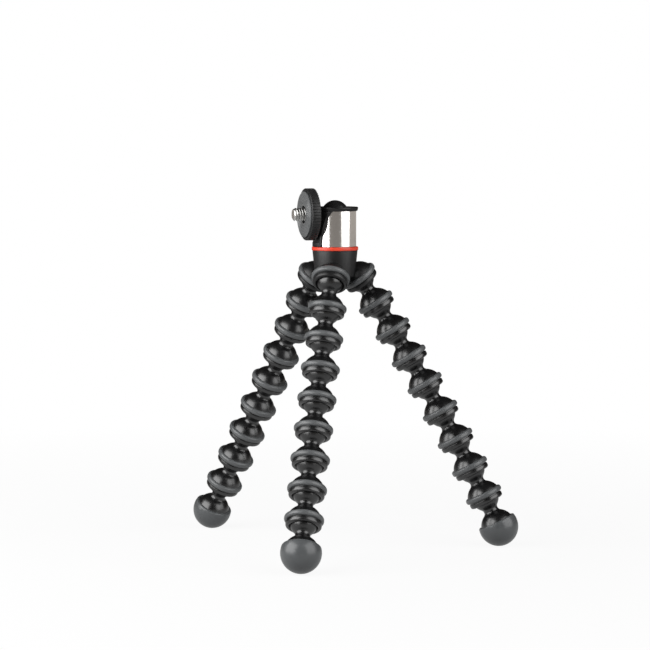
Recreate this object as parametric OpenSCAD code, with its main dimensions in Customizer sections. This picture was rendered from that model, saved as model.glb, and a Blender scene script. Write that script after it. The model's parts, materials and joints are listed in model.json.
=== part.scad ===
// Flexible leg tripod: a hub with three legs of ball-and-socket links, each ending in a round
// rubber-soled foot, and a small ball head whose stem drops on its side through a notch.
// Lengths are millimetres and +Z is up. The origin is on the floor, under the hub's axis.

/* [Legs] */
// Links in each leg, without its foot
link_count = 8; // [4:1:8]
// Distance from one ball centre to the next
link_pitch = 15.3; // [15:0.1:18]
// Lean of a straight leg from the vertical, in degrees
leg_lean = 29.5; // [20:0.5:40]
// Heading of each leg, front, right and left, in degrees from the front
leg_heading = [-12, 84, -130]; // [-180:1:180]
// Lean gained from the first link to the foot of each leg, in degrees
leg_bow = [14, -7, -1]; // [-20:1:20]
// Heading gained from the first link to the foot of each leg, in degrees
leg_sway = [9, -12, 5]; // [-20:1:20]

/* [Ball joints] */
// Diameter of a link's ball
ball_d = 13.1; // [12:0.1:14]
// Gap between a ball and the cup that holds it
ball_clearance = 0.12; // [0.1:0.01:0.2]
// Thickness of a cup's domed wall
cup_wall = 1.75; // [1.5:0.05:2.2]
// Diameter of a link's neck at its waist
neck_d = 7.1; // [5.5:0.1:7.5]
// Depth of a cup's mouth below its ball centre
mouth_drop = 2.5; // [2.2:0.1:2.8]
// Depth below the ball centre at which the mouth starts to flare
snap_drop = 1.8; // [1.5:0.1:2]
// Widening of the mouth from its snap edge, on the radius
mouth_flare = 0.55; // [0.3:0.05:0.7]
// Set-back of the lip bead from the dome, on the radius
lip_inset = 0.05; // [0:0.05:0.4]
// Rounding of the lip bead's outer edge
lip_round = 1.1; // [0.5:0.1:1.2]

/* [Grip rings] */
// Outer diameter of a rubber grip ring
grip_d = 18.5; // [18:0.1:20]
// Width of a grip ring along the leg
grip_w = 2.8; // [2.4:0.1:3.4]
// Height of a grip ring's middle above the ball centre
grip_rise = 1.6; // [1.5:0.1:1.9]
// Depth to which a grip ring is let into the dome
grip_depth = 0.9; // [0.6:0.1:1.1]
// Rounding of a grip ring's outer edges
grip_round = 1.1; // [0.6:0.1:1.2]
// Width of the groove between a grip ring and the lip bead
groove_w = 0.4; // [0.3:0.1:0.6]
// Depth of that groove, from the lip bead
groove_depth = 0.4; // [0.2:0.1:0.5]
// Gap left round a moulded-on piece
mould_gap = 0.03; // [0.02:0.01:0.05]

/* [Feet] */
// Diameter of a foot's rubber sole
foot_d = 19.1; // [18.5:0.1:22]
// Height of the sole's edge above the centre of the foot
sole_rise = 2.8; // [1.5:0.1:3.5]
// Thickness of the rubber sole
sole_wall = 1.15; // [1:0.05:1.6]
// Rounding of the sole's edge
sole_round = 0.6; // [0.3:0.05:0.6]

/* [Hub] */
// Heading of the front socket, in degrees from the front
hub_heading = -10; // [-30:1:30]
// Distance of a socket's centre from the hub's axis
socket_reach = 13; // [12.5:0.1:15]
// Lean of a socket's axis from the vertical, in degrees
socket_lean = 38; // [38:1:48]
// Height of the hub's top above the socket centres
hub_rise = 14; // [12.5:0.05:16]
// Diameter of the hub at its top
hub_d = 21.8; // [21:0.1:23]
// Narrowing of the hub's waist from its top, on the radius
hub_taper = 1.3; // [0.5:0.1:2]
// Diameter of the post that carries the head
post_d = 14; // [13.6:0.1:14.4]

/* [Head] */
// Diameter of the red accent ring
accent_d = 22.4; // [22:0.1:24]
// Height of the accent ring
accent_h = 1.7; // [1:0.1:2.5]
// Diameter of the steel sleeve
sleeve_d = 20.4; // [20.2:0.1:21]
// Height of the steel sleeve
sleeve_h = 17.1; // [16.5:0.1:20]
// Thickness of the steel sleeve
sleeve_wall = 0.6; // [0.4:0.05:0.8]
// Diameter of the rim above the sleeve
rim_d = 22.6; // [22:0.1:23]
// Height of the rim
rim_h = 1.9; // [1.5:0.1:2.5]
// Drop of the rim's edge from its widest to its underside, on the radius
rim_taper = 0.5; // [0.2:0.1:0.7]
// Running gap between turning pieces
turn_clearance = 0.1; // [0.05:0.01:0.1]

/* [Ball and notch] */
// Heading of the notch, in degrees from the front
notch_heading = -72; // [-180:1:180]
// Diameter of the head's ball
head_ball_d = 13.4; // [13:0.1:13.6]
// Depth of the head's ball centre below the rim's top
head_ball_drop = 3.5; // [3.2:0.1:4]
// Diameter of the rim's opening
rim_bore_d = 12; // [11.8:0.1:12.4]
// Diameter of the stem
stem_d = 5.4; // [4.6:0.1:5.6]
// Gap between the stem and the notch
notch_clearance = 0.4; // [0.3:0.05:0.6]
// Distance of the notch's flat from the head's axis
notch_flat = 9.5; // [9.2:0.05:9.6]
// Half width of the steel sleeve's cut-out at its foot
cutout_half = 6; // [5.5:0.1:6.5]
// Radius of the arcs that open the cut-out towards the top
cutout_arc = 45; // [40:1:70]
// Stand-out of the notch's black cheek beyond the sleeve
cheek_proud = 0.7; // [0.2:0.1:0.8]
// Thickness of the pressure cup's floor under the ball
cup_floor = 1.6; // [1:0.1:2.5]

/* [Camera disc] */
// Distance from the ball's centre to the disc
stem_reach = 10.7; // [10.6:0.1:14]
// Diameter of the knurled disc
disc_d = 25; // [22:0.5:30]
// Thickness of the knurled disc
disc_h = 4.4; // [4.2:0.1:6]
// Ridges round the disc
ridge_count = 54; // [36:1:60]
// Radius of the groove between two ridges
ridge_groove = 0.45; // [0.3:0.05:0.5]
// Bevel of the disc's edges
disc_bevel = 0.6; // [0.3:0.1:0.8]
// Depth of the stem's end in the disc
stem_seat = 2; // [1.5:0.1:2.2]
// Thickness of the rubber pad on the disc
pad_h = 0.8; // [0.5:0.1:1.2]
// Diameter of the rubber pad
pad_d = 22; // [19:0.5:23]
// Hole in the pad, wide enough for the rim of the thread that the screw goes into
pad_hole_d = 8.4; // [8.2:0.1:12]
// Diameter of the camera screw's thread
screw_d = 6.35; // [6.35, 9.525]
// Length of the camera screw above the pad
screw_len = 5.2; // [4:0.1:6]
// Bevel of the screw's tip
screw_bevel = 0.7; // [0.4:0.1:1]
// Diameter of the screw's root, held in the disc
screw_root_d = 5.2; // [4.6:0.1:5.6]

/* [Hidden] */
$fn = 96;
LEGS = ["front", "right", "left"];
function link_name(leg, i) = str(LEGS[leg], "_link_", i);
function grip_name(leg, i) = str(LEGS[leg], "_grip_", i);
function foot_name(leg) = str(LEGS[leg], "_foot");
HEAD_NODES = ["hub_body", "hub_grip_rings", "accent_ring", "pressure_cup", "head_core",
              "steel_sleeve", "ball_stem", "camera_disc", "camera_screw"];
LINK_NODES = [for (leg = [0:2]) for (i = [1:link_count]) link_name(leg, i)];
GRIP_NODES = [for (leg = [0:2]) for (i = [1:link_count]) grip_name(leg, i)];
FOOT_NODES = [for (leg = [0:2]) foot_name(leg)];

// Radii that the joints share
ball_r = ball_d / 2;
cavity_r = ball_r + ball_clearance;
dome_r = cavity_r + cup_wall;
neck_r = neck_d / 2;
lip_r = dome_r - lip_inset;
snap_r = sqrt(pow(cavity_r, 2) - pow(snap_drop, 2));
mouth_r = snap_r + mouth_flare;
grip_seat_r = sqrt(pow(dome_r, 2) - pow(grip_rise, 2)) - grip_depth;
grip_foot = grip_rise - grip_w / 2;
lip_top = grip_foot - groove_w;
foot_r = foot_d / 2;
stud_r = foot_r - sole_wall;

// A cut runs this far past the face it opens
past = 1;
// The waist's fillet reaches this far into the ball and the dome, so that the arcs cross cleanly
fillet_bite = 0.02;

// Waist of a link: the radius of an arc that touches its ball, its dome and its neck
function waist_slope(dome) = (dome - ball_r) / link_pitch;
function waist_base(dome) =
    (pow(link_pitch, 2) - (dome - ball_r) * (dome + ball_r)) / (2 * link_pitch);
function waist_b(dome) = 2 * (ball_r + waist_base(dome) * waist_slope(dome) - neck_r);
function waist_c(dome) = pow(neck_r, 2) + pow(waist_base(dome), 2) - pow(ball_r, 2);
function waist_r(dome) = 2 * waist_c(dome) / (waist_b(dome)
    + sqrt(pow(waist_b(dome), 2) - 4 * pow(waist_slope(dome), 2) * waist_c(dome)));
function waist_z(dome) = waist_base(dome) - waist_slope(dome) * waist_r(dome);

// Leg layout: every foot stands on the floor, whatever the bow of its leg
step_count = link_count + 1;
leg_drop = step_count * link_pitch * cos(leg_lean);
function bow_at(leg, i) = leg_bow[leg] * ((i - 1) / link_count - 0.5);
function bow_sum(leg) = [for (i = [1:step_count]) cos(bow_at(leg, i))] * [for (i = [1:step_count]) 1];
function lean_at(leg, i) = acos(leg_drop / (link_pitch * bow_sum(leg))) + bow_at(leg, i);
function heading_at(leg, i) = leg_heading[leg] + leg_sway[leg] * ((i - 1) / link_count - 0.5);
function down_leg(leg, i) = [sin(heading_at(leg, i)) * sin(lean_at(leg, i)),
                             -cos(heading_at(leg, i)) * sin(lean_at(leg, i)),
                             -cos(lean_at(leg, i))];
function socket_heading(leg) = hub_heading + [0, 120, -120][leg];
socket_z = leg_drop + foot_r;
function socket_at(leg) = [socket_reach * sin(socket_heading(leg)),
                           -socket_reach * cos(socket_heading(leg)), socket_z];
function ball_at(leg, i) =
    i == 1 ? socket_at(leg) : ball_at(leg, i - 1) + link_pitch * down_leg(leg, i - 1);

// Levels of the head, from the hub's top up
hub_top = socket_z + hub_rise;
accent_top = hub_top + accent_h;
collar_foot = accent_top + turn_clearance;
sleeve_top = collar_foot + sleeve_h;
rim_top = sleeve_top + rim_h;
head_ball_z = rim_top - head_ball_drop;
head_ball_r = head_ball_d / 2;
seat_r = head_ball_r + ball_clearance;
core_r = sleeve_d / 2 - sleeve_wall - mould_gap;
core_bore_r = post_d / 2 + turn_clearance;
post_top = head_ball_z - seat_r - cup_floor;
cup_top = head_ball_z - head_ball_r / 2;
cheek_r = sleeve_d / 2 + cheek_proud;
notch_half = stem_d / 2 + notch_clearance;
disc_r = disc_d / 2;
stem_r = stem_d / 2;
waist_hub_z = socket_z + grip_rise;
hub_floor_z = socket_z - ball_r / 3;
hub_floor_r = neck_r + cup_wall / 2;
flat_foot_z = head_ball_z - disc_r - past;

// Placing

module at_joint(leg, i) {
    translate(ball_at(leg, i))
        rotate([-lean_at(leg, i), 0, heading_at(leg, i)])
            children();
}

module at_socket(leg) {
    translate(socket_at(leg))
        rotate([-socket_lean, 0, socket_heading(leg)])
            children();
}

// The ball's centre, with +X along the stem as it lies in the notch
module at_head_ball() {
    translate([0, 0, head_ball_z])
        rotate([0, 0, notch_heading - 90])
            children();
}

// The ball's centre, with +Z along the stem as it lies in the notch
module along_stem() {
    at_head_ball()
        rotate([0, 90, 0])
            children();
}

// Outlines, drawn with X as the radius and Y along the axis

module spun() {
    rotate_extrude()
        intersection() {
            translate([0, -link_pitch * 3])
                square([link_pitch * 2, link_pitch * 6]);
            children();
        }
}

// Outside of a cup, round its ball centre and open downwards
module cup_outline() {
    intersection() {
        circle(dome_r);
        translate([0, grip_foot])
            square([dome_r, dome_r]);
    }
    translate([0, lip_top])
        square([lip_r - groove_depth, groove_w + mould_gap]);
    translate([0, -mouth_drop + lip_round])
        square([lip_r, lip_top + mouth_drop - lip_round]);
    translate([0, -mouth_drop])
        square([lip_r - lip_round, lip_round * 2]);
    translate([lip_r - lip_round, -mouth_drop + lip_round])
        circle(lip_round);
}

// Hollow of a cup, with its flared mouth
module cup_hollow() {
    circle(cavity_r);
    polygon([[0, -snap_drop], [snap_r, -snap_drop], [mouth_r, -mouth_drop],
             [mouth_r, -mouth_drop - past], [0, -mouth_drop - past]]);
}

// Seat cut in a dome for its grip ring
module grip_seat() {
    translate([grip_seat_r, grip_foot])
        square([grip_d, grip_w]);
}

// Section of a grip ring, rounded on its two outer edges
module grip_section() {
    inner = grip_seat_r + mould_gap;
    foot = grip_foot + mould_gap;
    width = grip_w - 2 * mould_gap;
    round_x = grip_d / 2 - grip_round;
    intersection() {
        translate([inner, foot])
            square([grip_d, width]);
        union() {
            translate([0, foot])
                square([round_x, width]);
            translate([0, foot + grip_round])
                square([grip_d / 2, width - 2 * grip_round]);
            for (side = [grip_round, width - grip_round])
                translate([round_x, foot + side])
                    circle(grip_round);
        }
    }
}

// Ball and waist of a link or foot whose dome has the given radius
module ball_and_waist(dome) {
    arc = waist_r(dome);
    arc_x = neck_r + arc;
    arc_y = -waist_z(dome);
    top = arc_y * ball_r / (ball_r + arc);
    foot = -link_pitch + (arc_y + link_pitch) * dome / (dome + arc);
    difference() {
        union() {
            circle(ball_r);
            translate([0, foot])
                square([arc_x, top - foot]);
            children();
        }
        translate([arc_x, arc_y])
            circle(arc + fillet_bite);
    }
}

// Legs

module link(leg, i) {
    color("#1c1c1e")
        at_joint(leg, i)
            spun()
                difference() {
                    ball_and_waist(dome_r)
                        translate([0, -link_pitch])
                            cup_outline();
                    translate([0, -link_pitch]) {
                        cup_hollow();
                        grip_seat();
                    }
                }
}

module grip(leg, i) {
    color("#58595b")
        at_joint(leg, i)
            translate([0, 0, -link_pitch])
                spun()
                    grip_section();
}

// Plastic stud and its moulded-on rubber sole
module foot(leg) {
    color("#1c1c1e")
        at_joint(leg, step_count)
            spun()
                ball_and_waist(stud_r)
                    translate([0, -link_pitch])
                        circle(stud_r);
    color("#58595b")
        at_joint(leg, step_count)
            translate([0, 0, -link_pitch])
                spun()
                    difference() {
                        sole_outline();
                        circle(stud_r + mould_gap);
                    }
}

// Ball of the sole, cut off at its edge and rounded there
module sole_outline() {
    edge_y = sole_rise - sole_round;
    edge_x = sqrt(pow(foot_r - sole_round, 2) - pow(edge_y, 2));
    intersection() {
        circle(foot_r);
        translate([0, -foot_r])
            square([foot_r, foot_r + edge_y * foot_r / (foot_r - sole_round)]);
    }
    square([edge_x, sole_rise]);
    translate([edge_x, edge_y])
        circle(sole_round);
}

// Hub

module hub_body() {
    color("#262628") {
        difference() {
            union() {
                rotate_extrude()
                    polygon([[0, hub_floor_z], [hub_floor_r, hub_floor_z],
                             [hub_d / 2 - hub_taper, waist_hub_z], [hub_d / 2, hub_top],
                             [0, hub_top]]);
                translate([0, 0, hub_top - past])
                    cylinder(d = post_d, h = post_top - hub_top + past);
                for (leg = [0:2])
                    at_socket(leg)
                        spun()
                            cup_outline();
            }
            for (leg = [0:2])
                at_socket(leg)
                    spun() {
                        cup_hollow();
                        grip_seat();
                    }
        }
    }
}

module hub_grip_rings() {
    color("#58595b")
        for (leg = [0:2])
            at_socket(leg)
                spun()
                    grip_section();
}

module accent_ring() {
    color("#d8452e")
        translate([0, 0, hub_top])
            difference() {
                cylinder(d = accent_d, h = accent_h);
                translate([0, 0, -past])
                    cylinder(d = post_d + 2 * mould_gap, h = accent_h + 2 * past);
            }
}

// Head

// Nylon cup that the ball rests in, on top of the post
module pressure_cup() {
    color("#d9d7cf")
        difference() {
            translate([0, 0, post_top])
                cylinder(d = post_d - 2 * turn_clearance, h = cup_top - post_top);
            translate([0, 0, head_ball_z])
                sphere(seat_r);
        }
}

// Shape of the sleeve's cut-out seen from the notch, drawn from the collar's foot up
module cutout_outline(gap) {
    difference() {
        translate([-sleeve_d, -past])
            square([2 * sleeve_d, sleeve_h + 2 * past]);
        for (side = [-1, 1])
            translate([side * (cutout_half - gap + cutout_arc), 0])
                circle(cutout_arc);
    }
}

// Prism of the cut-out, from the axis out through the notch side
module cutout_prism(gap) {
    translate([0, 0, collar_foot])
        rotate([90, 0, notch_heading])
            linear_extrude(sleeve_d)
                cutout_outline(gap);
}

module steel_sleeve() {
    color("#b9bcc0")
        difference() {
            translate([0, 0, collar_foot])
                cylinder(d = sleeve_d, h = sleeve_h);
            translate([0, 0, collar_foot - past])
                cylinder(r = sleeve_d / 2 - sleeve_wall, h = sleeve_h + 2 * past);
            cutout_prism(0);
        }
}

// Section of the head's core from the ball's centre: wall, ball seat, bore for the post and rim
module core_outline() {
    foot = collar_foot - head_ball_z;
    shoulder = sleeve_top - head_ball_z;
    difference() {
        union() {
            translate([0, foot])
                square([core_r, shoulder - foot + past]);
            polygon([[0, shoulder + mould_gap], [rim_d / 2 - rim_taper, shoulder + mould_gap],
                     [rim_d / 2, head_ball_drop], [0, head_ball_drop]]);
        }
        translate([0, foot - past])
            square([core_bore_r, past - foot]);
        circle(seat_r);
        square([rim_bore_d / 2, head_ball_drop + past]);
    }
}

// Moulded core: rim, ball seat, notch and the cheek that shows in the sleeve's cut-out
module head_core() {
    color("#1f1f21")
        difference() {
            union() {
                translate([0, 0, head_ball_z])
                    spun()
                        core_outline();
                difference() {
                    intersection() {
                        translate([0, 0, collar_foot])
                            cylinder(r = cheek_r, h = sleeve_h);
                        cutout_prism(mould_gap);
                    }
                    translate([0, 0, collar_foot - past])
                        cylinder(r = (core_r + core_bore_r) / 2, h = sleeve_h + 2 * past);
                }
            }
            notch_slot();
            notch_relief();
        }
}

// Slot that the stem drops through
module notch_slot() {
    at_head_ball()
        rotate([90, 0, 90])
            linear_extrude(rim_d)
                union() {
                    circle(notch_half);
                    translate([-notch_half, 0])
                        square([2 * notch_half, head_ball_drop + past]);
                }
}

// Flat beside the notch, which clears the disc
module notch_relief() {
    translate([0, 0, flat_foot_z])
        rotate([0, 0, notch_heading - 90])
            translate([notch_flat, -rim_d, 0])
                cube([rim_d, 2 * rim_d, rim_top - flat_foot_z + past]);
}

module ball_stem() {
    color("#2a2a2c")
        along_stem() {
            sphere(head_ball_r);
            cylinder(r = stem_r, h = stem_reach + stem_seat - turn_clearance);
        }
}

// Camera disc

// Knurled disc and the rubber pad glued on it
module camera_disc() {
    along_stem()
        translate([0, 0, stem_reach]) {
            color("#202022")
                difference() {
                    intersection() {
                        linear_extrude(disc_h)
                            knurled_outline();
                        rotate_extrude()
                            polygon([[0, 0], [disc_r - disc_bevel, 0], [disc_r, disc_bevel],
                                     [disc_r, disc_h - disc_bevel],
                                     [disc_r - disc_bevel, disc_h], [0, disc_h]]);
                    }
                    translate([0, 0, -past])
                        cylinder(r = stem_r + turn_clearance, h = stem_seat + past);
                    translate([0, 0, stem_seat])
                        cylinder(r = screw_root_d / 2 + mould_gap, h = disc_h);
                }
            color("#4a4a4c")
                translate([0, 0, disc_h + mould_gap])
                    difference() {
                        cylinder(d = pad_d, h = pad_h - mould_gap);
                        translate([0, 0, -past])
                            cylinder(d = pad_hole_d, h = pad_h + 2 * past);
                    }
        }
}

module knurled_outline() {
    difference() {
        circle(disc_r);
        for (ridge = [1:ridge_count])
            rotate(ridge * 360 / ridge_count)
                translate([disc_r, 0])
                    circle(ridge_groove, $fn = 24);
    }
}

// Camera screw, plain where its thread is cut
module camera_screw() {
    root_foot = stem_seat + turn_clearance;
    thread_h = pad_h + screw_len - screw_bevel;
    color("#8f9194")
        along_stem()
            translate([0, 0, stem_reach]) {
                translate([0, 0, root_foot])
                    cylinder(d = screw_root_d, h = disc_h - root_foot + past);
                translate([0, 0, disc_h + mould_gap])
                    cylinder(d = screw_d, h = thread_h);
                translate([0, 0, disc_h + mould_gap + thread_h])
                    cylinder(d1 = screw_d, d2 = screw_d - 2 * screw_bevel, h = screw_bevel);
            }
}

// Drawing

hub_body();
hub_grip_rings();
accent_ring();
pressure_cup();
head_core();
steel_sleeve();
ball_stem();
camera_disc();
camera_screw();
for (leg = [0:2]) {
    for (i = [1:link_count]) {
        link(leg, i);
        grip(leg, i);
    }
    foot(leg);
}
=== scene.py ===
"""Looks of the flexible leg tripod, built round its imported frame.

Sizes in the classes are millimetres, in the frame's own directions. Meshes are written in metres.
NEAR is the slack, in millimetres, when points are told apart by their place.
"""

import json
import logging
import math
from dataclasses import dataclass, field
from enum import Enum

import bmesh
import bpy
from mathutils import Matrix, Vector


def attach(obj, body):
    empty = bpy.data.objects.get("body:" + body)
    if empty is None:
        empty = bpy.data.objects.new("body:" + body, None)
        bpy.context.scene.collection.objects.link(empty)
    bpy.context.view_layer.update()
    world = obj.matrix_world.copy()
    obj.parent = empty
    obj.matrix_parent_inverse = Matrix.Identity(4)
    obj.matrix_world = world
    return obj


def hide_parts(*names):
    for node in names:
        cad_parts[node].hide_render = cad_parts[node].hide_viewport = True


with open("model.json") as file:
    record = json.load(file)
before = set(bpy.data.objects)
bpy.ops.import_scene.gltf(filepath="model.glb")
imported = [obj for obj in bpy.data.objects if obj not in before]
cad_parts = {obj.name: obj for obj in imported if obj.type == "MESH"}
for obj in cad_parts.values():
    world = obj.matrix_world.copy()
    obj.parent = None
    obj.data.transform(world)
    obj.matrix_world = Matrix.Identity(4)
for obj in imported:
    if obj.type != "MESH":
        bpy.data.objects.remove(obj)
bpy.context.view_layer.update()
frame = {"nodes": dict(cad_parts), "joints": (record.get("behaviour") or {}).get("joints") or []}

LOG = logging.getLogger("tripod")
MM = 0.001
MERGE = 1e-6
NEAR = 0.05

Colour = tuple[float, float, float]


class Leg(Enum):
    """Legs, by the side of the picture that each stands on."""

    FRONT = "front"
    RIGHT = "right"
    LEFT = "left"


class Cut(Enum):
    """Ways in which a tool solid changes a piece."""

    ADD = "UNION"
    REMOVE = "DIFFERENCE"
    KEEP = "INTERSECT"


class Bench:
    """Steps at the modelling bench that the pieces share."""

    @staticmethod
    def clear() -> None:
        """Goes to object mode with nothing selected."""
        if bpy.context.object and bpy.context.object.mode != "OBJECT":
            bpy.ops.object.mode_set(mode="OBJECT")
        bpy.ops.object.select_all(action="DESELECT")

    @staticmethod
    def pick(piece: bpy.types.Object) -> None:
        """Makes a piece the only selected one."""
        Bench.clear()
        piece.select_set(True)
        bpy.context.view_layer.objects.active = piece

    @staticmethod
    def edit(piece: bpy.types.Object) -> None:
        """Opens a piece in edit mode with all of it selected."""
        Bench.pick(piece)
        bpy.ops.object.mode_set(mode="EDIT")
        bpy.context.tool_settings.mesh_select_mode = (True, True, True)
        bpy.ops.mesh.select_all(action="SELECT")

    @staticmethod
    def close(piece: bpy.types.Object, crease: float = 38.0) -> bpy.types.Object:
        """Merges doubles, turns the faces outwards and shades by angle.

        Args:
            piece: The mesh to finish.
            crease: Angle in degrees above which an edge stays sharp.

        Returns:
            The same piece.
        """
        Bench.edit(piece)
        bpy.ops.mesh.remove_doubles(threshold=MERGE)
        bpy.ops.mesh.normals_make_consistent(inside=False)
        bpy.ops.object.mode_set(mode="OBJECT")
        bpy.ops.object.shade_smooth_by_angle(angle=math.radians(crease))
        return piece

    @staticmethod
    def even(piece: bpy.types.Object) -> bpy.types.Object:
        """Evens the shading, so that large faces stay true beside their rounded edges.

        Args:
            piece: The finished solid.

        Returns:
            The same piece.
        """
        modifier = piece.modifiers.new("even", "WEIGHTED_NORMAL")
        modifier.keep_sharp = True
        modifier.weight = 80
        Bench.apply(piece, modifier)
        return piece

    @staticmethod
    def apply(piece: bpy.types.Object, modifier: bpy.types.Modifier) -> None:
        """Applies a modifier to its piece."""
        Bench.pick(piece)
        bpy.ops.object.modifier_apply(modifier=modifier.name)

    @staticmethod
    def combine(piece: bpy.types.Object, tool: bpy.types.Object, cut: Cut) -> bpy.types.Object:
        """Adds a tool solid to a piece, or cuts the piece with it, and removes the tool.

        Args:
            piece: The solid that is changed.
            tool: The solid that changes it.
            cut: The way of combining them.

        Returns:
            The changed piece.
        """
        modifier = piece.modifiers.new("combine", "BOOLEAN")
        modifier.operation = cut.value
        modifier.object = tool
        modifier.solver = "EXACT"
        Bench.apply(piece, modifier)
        bpy.data.objects.remove(tool)
        return piece

    @staticmethod
    def soften(piece: bpy.types.Object, width: float, segments: int = 2, angle: float = 40.0) -> bpy.types.Object:
        """Rounds a piece's sharp edges.

        Args:
            piece: The solid with sharp edges.
            width: Width of the rounding in millimetres.
            segments: Faces across the rounding.
            angle: Angle in degrees above which an edge is rounded.

        Returns:
            The same piece.
        """
        modifier = piece.modifiers.new("soften", "BEVEL")
        modifier.width = width * MM
        modifier.segments = segments
        modifier.limit_method = "ANGLE"
        modifier.angle_limit = math.radians(angle)
        modifier.use_clamp_overlap = True
        modifier.harden_normals = False
        Bench.apply(piece, modifier)
        return piece

    @staticmethod
    def copy(pattern: bpy.types.Object, name: str, place: Matrix) -> bpy.types.Object:
        """Copies a pattern, with its own mesh, to a place.

        Args:
            pattern: The piece that is copied.
            name: Name of the copy.
            place: Where the copy's mesh goes.

        Returns:
            The copy.
        """
        twin = pattern.copy()
        twin.data = pattern.data.copy()
        twin.name = name
        twin.data.name = name
        bpy.context.scene.collection.objects.link(twin)
        twin.data.transform(place)
        return twin

    @staticmethod
    def place(piece: bpy.types.Object, place: Matrix) -> bpy.types.Object:
        """Moves a piece's mesh to its place and leaves its object at the origin."""
        piece.data.transform(place)
        return piece


class Outline:
    """A section drawn in the XZ plane, point by point, then spun or extruded."""

    def __init__(self, name: str, x: float, z: float) -> None:
        """Starts the section.

        Args:
            name: Name of the piece that it becomes.
            x: Distance of the first point from the axis.
            z: Height of the first point.
        """
        Bench.clear()
        bpy.ops.mesh.primitive_plane_add(size=MM)
        self.piece = bpy.context.active_object
        self.piece.name = name
        self.piece.data.name = name
        bpy.ops.object.mode_set(mode="EDIT")
        bpy.context.tool_settings.mesh_select_mode = (True, False, False)
        bpy.ops.mesh.select_all(action="SELECT")
        bpy.ops.mesh.merge(type="CENTER")
        bpy.ops.transform.translate(value=(x * MM, 0, z * MM))
        self.start = self.x, self.z = x, z

    def line(self, x: float, z: float) -> "Outline":
        """Draws a straight edge to a point."""
        step = ((x - self.x) * MM, 0, (z - self.z) * MM)
        bpy.ops.mesh.extrude_region_move(TRANSFORM_OT_translate={"value": step})
        self.x, self.z = x, z
        return self

    def arc(self, x: float, z: float, degrees: float, steps: int) -> "Outline":
        """Draws an arc round a centre, anticlockwise when degrees is positive.

        Args:
            x: The centre's distance from the axis.
            z: The centre's height.
            degrees: Angle that the arc sweeps.
            steps: Edges along the arc.

        Returns:
            The same outline.
        """
        turn = math.radians(degrees)
        bpy.ops.mesh.spin(steps=steps, angle=turn, center=(x * MM, 0, z * MM), axis=(0, 1, 0))
        dx, dz = self.x - x, self.z - z
        self.x = x + dx * math.cos(turn) - dz * math.sin(turn)
        self.z = z + dx * math.sin(turn) + dz * math.cos(turn)
        return self

    def corner(self, x: float, z: float, radius: float, to_x: float, to_z: float, steps: int = 4) -> "Outline":
        """Draws to a corner that is rounded on the way to the next point.

        Args:
            x: The corner's distance from the axis.
            z: The corner's height.
            radius: Radius of the rounding.
            to_x: Distance from the axis of the point that the outline goes on to.
            to_z: Height of that point.
            steps: Edges along the rounding.

        Returns:
            The same outline, at the end of the rounding.
        """
        here, tip, there = Vector((self.x, self.z)), Vector((x, z)), Vector((to_x, to_z))
        back, on = (here - tip).normalized(), (there - tip).normalized()
        half = math.acos(max(-1.0, min(1.0, back.dot(on)))) / 2
        setback = radius / math.tan(half)
        centre = tip + (back + on).normalized() * (radius / math.sin(half))
        first = tip + back * setback
        turn = back.x * on.y - back.y * on.x
        sweep = math.degrees(math.pi - 2 * half) * (-1 if turn > 0 else 1)
        self.line(first.x, first.y)
        return self.arc(centre.x, centre.y, sweep, steps)

    def home(self) -> "Outline":
        """Draws back to the first point."""
        return self.line(*self.start)

    def spun(self, steps: int = 96, crease: float = 38.0) -> bpy.types.Object:
        """Spins the section round the Z axis into a closed piece.

        Args:
            steps: Faces round the piece.
            crease: Angle in degrees above which an edge stays sharp.

        Returns:
            The piece.
        """
        bpy.ops.mesh.select_all(action="SELECT")
        bpy.ops.mesh.spin(steps=steps, angle=2 * math.pi, center=(0, 0, 0), axis=(0, 0, 1))
        return Bench.close(self.piece, crease)

    def extruded(self, depth: float) -> bpy.types.Object:
        """Fills the closed section and extrudes it towards -Y.

        Args:
            depth: Length of the prism.

        Returns:
            The prism.
        """
        bpy.ops.mesh.select_all(action="SELECT")
        bpy.ops.mesh.remove_doubles(threshold=MERGE)
        bpy.ops.mesh.select_all(action="SELECT")
        bpy.ops.mesh.edge_face_add()
        bpy.ops.mesh.extrude_region_move(TRANSFORM_OT_translate={"value": (0, -depth * MM, 0)})
        return Bench.close(self.piece)


class Board:
    """A node tree with short ways to add and join nodes."""

    def __init__(self, tree: bpy.types.NodeTree) -> None:
        """Wraps a tree."""
        self.tree = tree

    def add(self, kind: str, **settings: object) -> bpy.types.Node:
        """Adds a node and sets its properties.

        Args:
            kind: The node's type.
            settings: Properties of the node and their values.

        Returns:
            The new node.
        """
        node = self.tree.nodes.new(kind)
        for name, value in settings.items():
            setattr(node, name, value)
        return node

    def join(self, source: bpy.types.NodeSocket, target: bpy.types.NodeSocket) -> None:
        """Links an output to an input."""
        self.tree.links.new(source, target)

    def spread(self, source: bpy.types.NodeSocket, low: float, high: float,
               start: float = 0.0, end: float = 1.0) -> bpy.types.NodeSocket:
        """Maps a value from start..end to low..high.

        Args:
            source: The value.
            low: Result at start.
            high: Result at end.
            start: Lower end of the value.
            end: Upper end of the value.

        Returns:
            The mapped value's socket.
        """
        node = self.add("ShaderNodeMapRange")
        self.join(source, node.inputs["Value"])
        for name, value in (("From Min", start), ("From Max", end), ("To Min", low), ("To Max", high)):
            node.inputs[name].default_value = value
        return node.outputs["Result"]


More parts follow.
